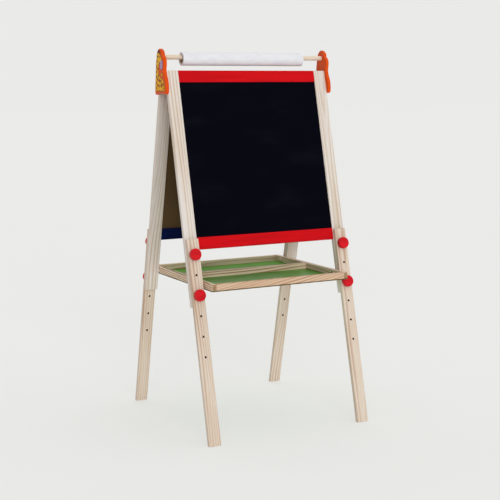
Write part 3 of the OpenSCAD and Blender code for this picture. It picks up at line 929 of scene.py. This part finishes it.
# Each patch: forwards, up, half width and half height
PATCHES = [
    (-14, 27, 3.0, 4.6), (-17, 12, 2.6, 5.6), (-10, 5, 3.0, 4.6), (-18, -4, 3.0, 4.0),
    (-6, -16, 3.4, 4.4), (-21, -18, 2.8, 5.4), (-12, -26, 4.2, 6.0), (-22, -36, 3.0, 5.4),
    (0, -30, 4.6, 5.0), (-10, -44, 4.8, 5.4), (12, -32, 4.6, 5.8), (4, -46, 4.2, 4.8),
    (18, -44, 5.2, 6.2), (29, -42, 3.6, 4.8), (-23, -52, 3.0, 4.0), (30, -54, 3.2, 3.4),
    (6, 40, 2.6, 2.2),
]


def skin_rings(mesh, rings):
    """Skins a row of equal closed rings of points and closes both ends. Gives the new faces."""
    count = len(rings[0])
    faces = [mesh.faces.new((first[k], first[(k + 1) % count], second[(k + 1) % count], second[k]))
             for first, second in zip(rings, rings[1:]) for k in range(count)]
    faces += [mesh.faces.new(rings[0]), mesh.faces.new(rings[-1])]
    bmesh.ops.recalc_face_normals(mesh, faces=faces)
    return faces


def print_layer(mesh, outline, x0, x1, index):
    """A thin slab with this outline between x0 and x1."""
    rings = [[mesh.verts.new((x, y, z)) for y, z in outline] for x in (x0, x1)]
    for face in skin_rings(mesh, rings):
        face.material_index = index


def on_bracket(points, stile_top):
    """Figure millimetres to (y, z) on the bracket's face; forwards is -y. Anticlockwise seen along +x."""
    there = [(-u * MM, stile_top + v * MM) for u, v in points]
    area = sum(a[0] * b[1] - b[0] * a[1] for a, b in zip(there, there[1:] + there[:1]))
    return there if area > 0 else list(reversed(there))


def patch_outline(u, v, wide, tall):
    """Outline of one patch of the coat, a little uneven."""
    pick = random.Random(f"patch {u} {v}")
    knots = []
    for k in range(7):
        angle = math.tau * k / 7
        size = pick.uniform(0.78, 1.15)
        knots.append((u + wide * size * math.cos(angle), v + tall * size * math.sin(angle)))
    return curve_through(knots, 4)


def build_prints():
    """The made-up giraffe printed on each bracket's outer face, in thin layers of ink."""
    layer = bpy.context.scene.easel_print.layer
    inks = ["ink_line", "ink_coat", "ink_patch", "ink_muzzle", "ink_eye"]
    line, patch, eye = (inks.index(name) for name in ("ink_line", "ink_patch", "ink_eye"))
    stile_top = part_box("front_stile_left")[1].z
    whole_turn = [math.tau * k / 24 for k in range(24)]
    for side, sign in SIDES.items():
        low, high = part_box(f"bracket_{side}")
        face_x = low.x if sign < 0 else high.x
        mesh = bmesh.new()
        # heights that the ink lies at, from inside the board to its true face
        level = [face_x - sign * layer * k for k in range(7, -1, -1)]
        # each part lies a hair above the one before, as its ink does
        for k, (finish, knots) in enumerate(FIGURE.values()):
            shape = on_bracket(curve_through(knots), stile_top)
            rise = sign * layer * 0.12 * k
            print_layer(mesh, inset(shape, -OUTLINE), level[0], level[4] + rise, line)
            print_layer(mesh, shape, level[0], level[5] + rise, inks.index(finish))
        for shape in PATCHES:
            print_layer(mesh, on_bracket(patch_outline(*shape), stile_top), level[1], level[6], patch)
        # the eye, its pupil and the nostril
        for u, v, wide, tall, top, finish in (
            (-8, 41, 4.2, 3.4, 6, eye), (-7, 41, 2.3, 2.3, 7, line), (21, 20, 1.2, 2.0, 6, line),
        ):
            oval = [(u + wide * math.cos(a), v + tall * math.sin(a)) for a in whole_turn]
            print_layer(mesh, on_bracket(oval, stile_top), level[1], level[top], finish)
        piece = to_object(f"giraffe_print_{side}", mesh)
        settle(piece, f"bracket_{side}", inks, added=True)


def lying(node):
    """Middle, radius and half length of a round CAD node that lies along x."""
    low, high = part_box(node)
    return middle(low, high), (high.z - low.z) / 2, (high.x - low.x) / 2


def build_dowel():
    """The beech dowel that carries the roll."""
    centre, radius, half = lying("roll_dowel")
    upper = rounded_end(radius, half, DOWEL_ROUNDING, 4)
    lower = [(r, -h) for r, h in reversed(upper)]
    rod = smooth(to_object("roll_dowel_beech", lathe(lower + upper, 48)))
    add_grain(rod, "z", ((30, 20, 0), (1, 0)))
    settle(rod, "roll_dowel", ["beech_rod"], along((1, 0, 0), centre))


def build_core():
    """The roll's card tube, its rims a little worn."""
    centre, radius, half = lying("roll_core")
    half -= ROLL_SET_BACK
    wall = 1.5 * MM
    soft = 0.3 * MM
    bore = radius - wall
    profile = [(bore + soft, -half), (radius - soft, -half), (radius, -half + soft), (radius, half - soft),
               (radius - soft, half), (bore + soft, half), (bore, half - soft), (bore, -half + soft),
               (bore + soft, -half)]
    tube = lathe(profile, 64)
    bmesh.ops.remove_doubles(tube, verts=tube.verts, dist=TOUCH / 10)
    bmesh.ops.recalc_face_normals(tube, faces=tube.faces)
    core = smooth(to_object("roll_core_card", tube))
    settle(core, "roll_core", ["card_tube"], along((1, 0, 0), centre))


def build_paper():
    """The paper, wound round the core in a spiral whose turns don't quite line up at the ends."""
    core_radius = lying("roll_core")[1]
    centre, radius, half = lying("paper_roll")
    half -= ROLL_SET_BACK
    # Real paper is 0.1 mm; each turn is drawn over five times as thick so that the wound ends show
    turns, per_turn = 13, 72
    gap = 0.03 * MM
    pitch = (radius - core_radius - gap) / (turns + 1)
    sheet = pitch - gap
    pick = random.Random("roll ends")
    wander = 0.35
    shift = [pick.uniform(-wander, wander) * MM for _ in range(turns + 2)]
    loose_end = math.radians(200)
    mesh = bmesh.new()
    rows = []
    for k in range(turns * per_turn + 1):
        wound = k / per_turn
        angle = math.tau * wound + loose_end
        inner = core_radius + gap + pitch * wound
        lean = shift[int(wound)] * (1 - wound % 1) + shift[int(wound) + 1] * (wound % 1)
        corners = ((-half, inner), (-half, inner + sheet), (half, inner + sheet), (half, inner))
        across, up = math.cos(angle), math.sin(angle)
        rows.append([mesh.verts.new((x + lean, r * across, r * up)) for x, r in corners])
    skin_rings(mesh, rows)
    paper = smooth(to_object("paper_roll_wound", mesh))
    settle(paper, "paper_roll", ["drawing_paper"], Matrix.Translation(centre))


def build_tray_rails():
    """Side rails with their outer corners rounded, cross rails and divider."""
    for side, sign in SIDES.items():
        node = f"tray_rail_{side}"
        low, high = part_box(node)
        piece = batten(f"{node}_pine", low, high, "y", SIDE_RAIL_ROUNDING, corner=(sign, TRAY_CORNER))
        settle(piece, node, ["pine_tray", "pine_end"])
    for node in ("tray_front_rail", "tray_rear_rail", "tray_divider"):
        piece = batten(f"{node}_pine", *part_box(node), "x", CROSS_RAIL_ROUNDING)
        side = "pine_tray_front" if node == "tray_front_rail" else "pine_tray"
        settle(piece, node, [side, "pine_end"])


def build_tray_floor():
    """The floor: a hardboard sheet lacquered on both faces."""
    mesh = block(*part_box("tray_floor_panel"))
    round_edges(mesh, mesh.edges[:], FLOOR_ROUNDING, 2)
    for face in mesh.faces:
        face.material_index = 0 if abs(face.normal.z) > FACING else 1
    panel = smooth(to_object("tray_floor_lacquered", mesh))
    settle(panel, "tray_floor_panel", ["green_gloss_lacquer", "hardboard"])


def nails(name, node, outward_of, head_radius, head_height, shank_radius, proud, finish):
    """Nails of a group node: outward_of gives the direction of each solid's head from its box."""
    points = bmesh.new()
    turns = []
    size = 0.0
    for low, high in islands(node):
        outward = Vector(outward_of(low, high))
        reach = max((high - low)[i] * abs(outward[i]) for i in range(3))
        size = max(size, reach)
        points.verts.new(middle(low, high) + outward * (reach / 2 + proud))
        turns.append(outward.to_track_quat("Z", "Y").to_euler())
    piece = to_object(name, points)
    turn = piece.data.attributes.new("turn", "FLOAT_VECTOR", "POINT")
    for item, value in zip(turn.data, turns):
        item.vector = value
    use_tree(piece, nail_tree(), {
        "Shank radius": shank_radius, "Shank length": size, "Head radius": head_radius,
        "Head height": head_height, "Finish": material(finish)})
    smooth(piece)
    piece.data.materials.clear()
    settle(piece, node, [finish])


def recessed_head(radius, height, recess, arm):
    """A pan screw head, domed, with a cross recess sunk in it. Its top is at z = height."""
    dome = [(0, 0), (radius, 0)] + rounded_end(radius, height, height * 0.6, 5)
    piece = to_object("screw_head", lathe(dome, 40))
    blade = arm * 0.25
    for wide, deep in ((arm, blade), (blade, arm)):
        bar = block(Vector((-wide, -deep, height - recess)), Vector((wide, deep, height + recess)))
        cut(piece, to_object("cross", bar))
    return piece


def build_nails():
    """Nails through the side rails, and up through the floor."""
    nails("tray_frame_nails_steel", "tray_frame_nails",
          lambda low, high: (math.copysign(1, (low + high).x), 0, 0),
          head_radius=2.2 * MM, head_height=0.9 * MM, shank_radius=1.1 * MM, proud=0.1 * MM,
          finish="black_phosphate")
    nails("tray_floor_nails_steel", "tray_floor_nails",
          lambda low, high: (0, 0, -1),
          head_radius=2.2 * MM, head_height=0.8 * MM, shank_radius=0.9 * MM, proud=0.15 * MM,
          finish="bright_zinc")


def build_caps():
    """Domed light caps over the rear pivot screws, inside the tray."""
    caps = bmesh.new()
    for low, high in islands("tray_pivot_caps"):
        inward = -math.copysign(1, (low + high).x)
        radius, height = (high.z - low.z) / 2, high.x - low.x
        foot = middle(low, high) - Vector((inward * height / 2, 0, 0))
        dome = lathe([(0, 0), (radius, 0)] + rounded_end(radius, height, height * 0.45, 6), 40)
        drop_in(caps, dome, along((inward, 0, 0), foot))
    settle(smooth(to_object("tray_pivot_caps_domed", caps)), "tray_pivot_caps", ["beige_cap_plastic"])


def build_front_screws():
    """Dark screws through the side rails, their heads inside the tray."""
    screws = bmesh.new()
    shank_radius, set_in = 2.2 * MM, 1.0 * MM
    for low, high in islands("tray_front_screws"):
        inward = -math.copysign(1, (low + high).x)
        radius = (high.z - low.z) / 2
        near_x, far_x = (low.x, high.x) if inward < 0 else (high.x, low.x)
        base = middle(low, high)
        base.x = near_x - inward * set_in
        reach = abs(far_x - base.x)
        head = recessed_head(radius, height=1.6 * MM, recess=0.9 * MM, arm=radius * 0.62)
        head.data.transform(along((inward, 0, 0), base))
        screws.from_mesh(head.data)
        bpy.data.meshes.remove(head.data)
        rod = lathe([(0, 0), (shank_radius, 0), (shank_radius, reach), (0, reach)], 24)
        drop_in(screws, rod, along((-inward, 0, 0), base))
    settle(smooth(to_object("tray_front_screws_dark", screws)), "tray_front_screws", ["black_phosphate"])


def build_knob(tag, pose, out):
    """One turned knob, its neck towards the leg. out is the side of y that it faces."""
    low, high = local_box(f"knob_{tag}", pose)
    centre = middle(low, high)
    radius, height = (high.x - low.x) / 2, high.y - low.y
    foot_y = high.y if out < 0 else low.y
    neck, neck_height = 10 * MM, 2.5 * MM
    back, rim = 1.6 * MM, 2.4 * MM
    shallow, deep = 0.12 * MM, 0.2 * MM
    shape = [(0, 0), (neck, 0), (neck, neck_height)]
    shape += arc((radius - back, neck_height + back), back, -90, 0, 5)
    shape += arc((radius - rim, height - rim), rim, 0, 90, 6)
    # two light steps that the turning tool leaves on the face
    shape += [(radius * 0.8, height), (radius * 0.78, height - shallow), (radius * 0.2, height - deep)]
    shape += [(0, height - deep)]
    knob = smooth(to_object(f"knob_{tag}_painted", lathe(shape, 72)), ROUND_SHARP)
    knob.data.transform(along((0, out, 0), (centre.x, foot_y, centre.z)))
    add_grain(knob, "x", log_place(tag))
    settle(knob, f"knob_{tag}", ["red_gloss_paint"], pose)
    return centre


def build_stud(tag, pose, out, centre):
    """The threaded stud of one knob, on the knob's axis. The thread starts past the part inside the knob."""
    low, high = local_box(f"stud_{tag}", pose)
    radius, reach = (high.x - low.x) / 2, high.y - low.y
    start_y = high.y if out > 0 else low.y
    pitch, ridge = 1.0 * MM, 0.42 * MM
    hidden = 9 * MM
    tip, tip_radius, bare = 1.0 * MM, radius - 1.2 * MM, 1.5 * MM
    root = radius - ridge
    core = lathe([(0, 0), (root, 0), (root, reach - tip), (tip_radius, reach), (0, reach)], 24)
    stud = to_object(f"stud_{tag}_threaded", core)
    wound = reach - hidden - bare
    stud.data.transform(Matrix.Translation((0, 0, -hidden)))
    use_tree(stud, thread_tree(), {
        "Turns": wound / pitch, "Radius": root, "Length": wound, "Ridge": ridge,
        "Finish": material("bright_zinc")})
    smooth(stud, sharp=35)
    stud.data.materials.clear()
    for polygon in stud.data.polygons:
        polygon.material_index = 0
    stud.data.transform(along((0, -out, 0), (centre.x, start_y - out * hidden, centre.z)))
    settle(stud, f"stud_{tag}", ["bright_zinc"], pose)


def build_knobs():
    """Eight turned knobs and their threaded studs."""
    for where, pose in POSE.items():
        for side in SIDES:
            for level in ("upper", "lower"):
                tag = f"{where}_{side}_{level}"
                centre = build_knob(tag, pose, OUTWARD[where])
                build_stud(tag, pose, OUTWARD[where], centre)


def finish_hidden():
    """Finishes of the CAD pieces that stay: pins, inserts, pivots and spacers."""
    looks = {
        "front_joint_dowels": "beech_rod", "rear_joint_dowels": "beech_rod", "bracket_pins": "beech_rod",
        "fold_pivot_pins": "bright_zinc", "front_inserts": "bright_zinc", "rear_inserts": "bright_zinc",
        "tray_pivot_screws": "bright_zinc", "tray_spacers": "natural_nylon",
    }
    for node, finish in looks.items():
        slots = NODES[node].material_slots
        if not slots:
            NODES[node].data.materials.append(material(finish))
        for item in slots:
            item.material = material(finish)


def build_floor():
    """The pale floor, wide enough to fill the view."""
    reach = 60.0
    mesh = bmesh.new()
    corners = [mesh.verts.new((x * reach, y * reach, 0)) for x, y in ((-1, -1), (1, -1), (1, 1), (-1, 1))]
    mesh.faces.new(corners)
    floor = to_object("studio_floor", mesh)
    floor.data.materials.append(material("opal_floor"))


def build_surround(stage):
    """Even light from all round, dimmer from the room's left side and brighter from its ceiling."""
    world = bpy.data.worlds.new("studio surround")
    bpy.context.scene.world = world
    world.use_nodes = True
    tree = world.node_tree
    tree.nodes.clear()
    way = put(tree, "ShaderNodeTexCoord", out="Generated")
    left = {0: way, 1: (-0.85, -0.5, 0.1)}
    towards = put(tree, "ShaderNodeVectorMath", left, "Value", operation="DOT_PRODUCT")
    above = put(tree, "ShaderNodeSeparateXYZ", {0: way}, "Z")
    parts = []
    for value, low, high, start, end in (
        (towards, -0.1, 0.6, 1.0, stage.room), (above, 0.45, 0.9, 0.0, stage.ceiling),
    ):
        reach = {"Value": value, "From Min": low, "From Max": high, "To Min": start, "To Max": end}
        parts.append(put(tree, "ShaderNodeMapRange", reach, "Result", interpolation_type="SMOOTHSTEP"))
    strength = put(tree, "ShaderNodeMath", {0: parts[0], 1: parts[1]}, "Value", operation="ADD")
    sky = put(tree, "ShaderNodeBackground", {"Color": stage.sky[:], "Strength": strength}, "Background")
    put(tree, "ShaderNodeOutputWorld", {"Surface": sky})


def build_stage():
    """Pale floor, even surround, one broad key light and the camera."""
    scene = bpy.context.scene
    stage = scene.easel_stage
    build_floor()
    build_surround(stage)

    key = bpy.data.lights.new("key", "SUN")
    key.energy = stage.sun
    key.angle = math.radians(40)
    lamp = bpy.data.objects.new("key", key)
    key_side = Vector((-0.3, -0.9, 0.34))
    lamp.rotation_euler = key_side.to_track_quat("Z", "Y").to_euler()
    scene.collection.objects.link(lamp)

    camera = bpy.data.cameras.new("camera")
    camera.lens = stage.lens
    camera.sensor_width = 36
    camera.clip_end = 200
    eye = bpy.data.objects.new("camera", camera)
    # where it stands, and how far it is turned right, tilted down and rolled, in degrees
    stand = (-1.6089, -3.1343, 1.0163)
    yaw, pitch, roll = 27.375, 7.964, -0.46
    turn = Matrix.Identity(4)
    for angle, axis in ((-yaw, "Z"), (90 - pitch, "X"), (roll, "Z")):
        turn = turn @ Matrix.Rotation(math.radians(angle), 4, axis)
    eye.matrix_world = Matrix.Translation(stand) @ turn
    scene.collection.objects.link(eye)
    scene.camera = eye
    scene.view_settings.view_transform = "Standard"


# ---------------------------------------------------------------- operators


class EASEL_OT_stiles(bpy.types.Operator):
    """Build the four pine stiles"""
    bl_idname = "easel.stiles"
    bl_label = "Stiles"

    def execute(self, context):
        build_stiles()
        return {"FINISHED"}


class EASEL_OT_legs(bpy.types.Operator):
    """Build the four legs with their height holes"""
    bl_idname = "easel.legs"
    bl_label = "Legs"

    def execute(self, context):
        build_legs()
        return {"FINISHED"}


class EASEL_OT_rails(bpy.types.Operator):
    """Build the painted rails"""
    bl_idname = "easel.rails"
    bl_label = "Rails"

    def execute(self, context):
        build_rails()
        return {"FINISHED"}


class EASEL_OT_boards(bpy.types.Operator):
    """Build the chalkboard and the whiteboard"""
    bl_idname = "easel.boards"
    bl_label = "Boards"

    def execute(self, context):
        build_boards()
        return {"FINISHED"}


class EASEL_OT_brackets(bpy.types.Operator):
    """Build the lacquered side brackets"""
    bl_idname = "easel.brackets"
    bl_label = "Brackets"

    def execute(self, context):
        build_brackets()
        return {"FINISHED"}


class EASEL_OT_prints(bpy.types.Operator):
    """Print the giraffe on the brackets"""
    bl_idname = "easel.prints"
    bl_label = "Prints"

    def execute(self, context):
        build_prints()
        return {"FINISHED"}


class EASEL_OT_roll(bpy.types.Operator):
    """Build the dowel, the core and the paper roll"""
    bl_idname = "easel.roll"
    bl_label = "Paper roll"

    def execute(self, context):
        build_dowel()
        build_core()
        build_paper()
        return {"FINISHED"}


class EASEL_OT_tray(bpy.types.Operator):
    """Build the tray"""
    bl_idname = "easel.tray"
    bl_label = "Tray"

    def execute(self, context):
        build_tray_rails()
        build_tray_floor()
        return {"FINISHED"}


class EASEL_OT_fixings(bpy.types.Operator):
    """Build the nails, caps and screws of the tray"""
    bl_idname = "easel.fixings"
    bl_label = "Tray fixings"

    def execute(self, context):
        build_nails()
        build_caps()
        build_front_screws()
        return {"FINISHED"}


class EASEL_OT_knobs(bpy.types.Operator):
    """Build the knobs and their studs"""
    bl_idname = "easel.knobs"
    bl_label = "Knobs"

    def execute(self, context):
        build_knobs()
        return {"FINISHED"}


class EASEL_OT_hidden(bpy.types.Operator):
    """Finish the pins, inserts, pivots and spacers"""
    bl_idname = "easel.hidden"
    bl_label = "Pins and inserts"

    def execute(self, context):
        finish_hidden()
        return {"FINISHED"}


class EASEL_OT_stage(bpy.types.Operator):
    """Set up the floor, the light and the camera"""
    bl_idname = "easel.stage"
    bl_label = "Stage"

    def execute(self, context):
        build_stage()
        return {"FINISHED"}


OPERATORS = (
    EASEL_OT_stiles, EASEL_OT_legs, EASEL_OT_rails, EASEL_OT_boards, EASEL_OT_brackets, EASEL_OT_prints,
    EASEL_OT_roll, EASEL_OT_tray, EASEL_OT_fixings, EASEL_OT_knobs, EASEL_OT_hidden, EASEL_OT_stage,
)


class EASEL_PT_panel(bpy.types.Panel):
    """Lists the operators and the settings"""
    bl_label = "Kids easel"
    bl_idname = "EASEL_PT_panel"
    bl_space_type = "VIEW_3D"
    bl_region_type = "UI"
    bl_category = "Easel"

    def draw(self, context):
        for group in SETTINGS:
            box = self.layout.box()
            settings = getattr(context.scene, group)
            for name in settings.bl_rna.properties.keys():
                if name not in ("rna_type", "name"):
                    box.prop(settings, name)
        for kind in OPERATORS:
            self.layout.operator(kind.bl_idname)


SETTINGS = {
    "easel_wood": EaselWood, "easel_paint": EaselPaint, "easel_print": EaselPrint, "easel_stage": EaselStage,
}


def register():
    """Registers the classes and the settings of the scene."""
    for kind in (*SETTINGS.values(), *OPERATORS, EASEL_PT_panel):
        bpy.utils.register_class(kind)
    for name, kind in SETTINGS.items():
        setattr(bpy.types.Scene, name, PointerProperty(type=kind))


def unregister():
    """Takes them away again."""
    for name in SETTINGS:
        delattr(bpy.types.Scene, name)
    for kind in reversed((*SETTINGS.values(), *OPERATORS, EASEL_PT_panel)):
        bpy.utils.unregister_class(kind)


def main():
    """Builds everything."""
    register()
    for kind in OPERATORS:
        family, name = kind.bl_idname.split(".")
        getattr(getattr(bpy.ops, family), name)()


if __name__ == "__main__":
    main()
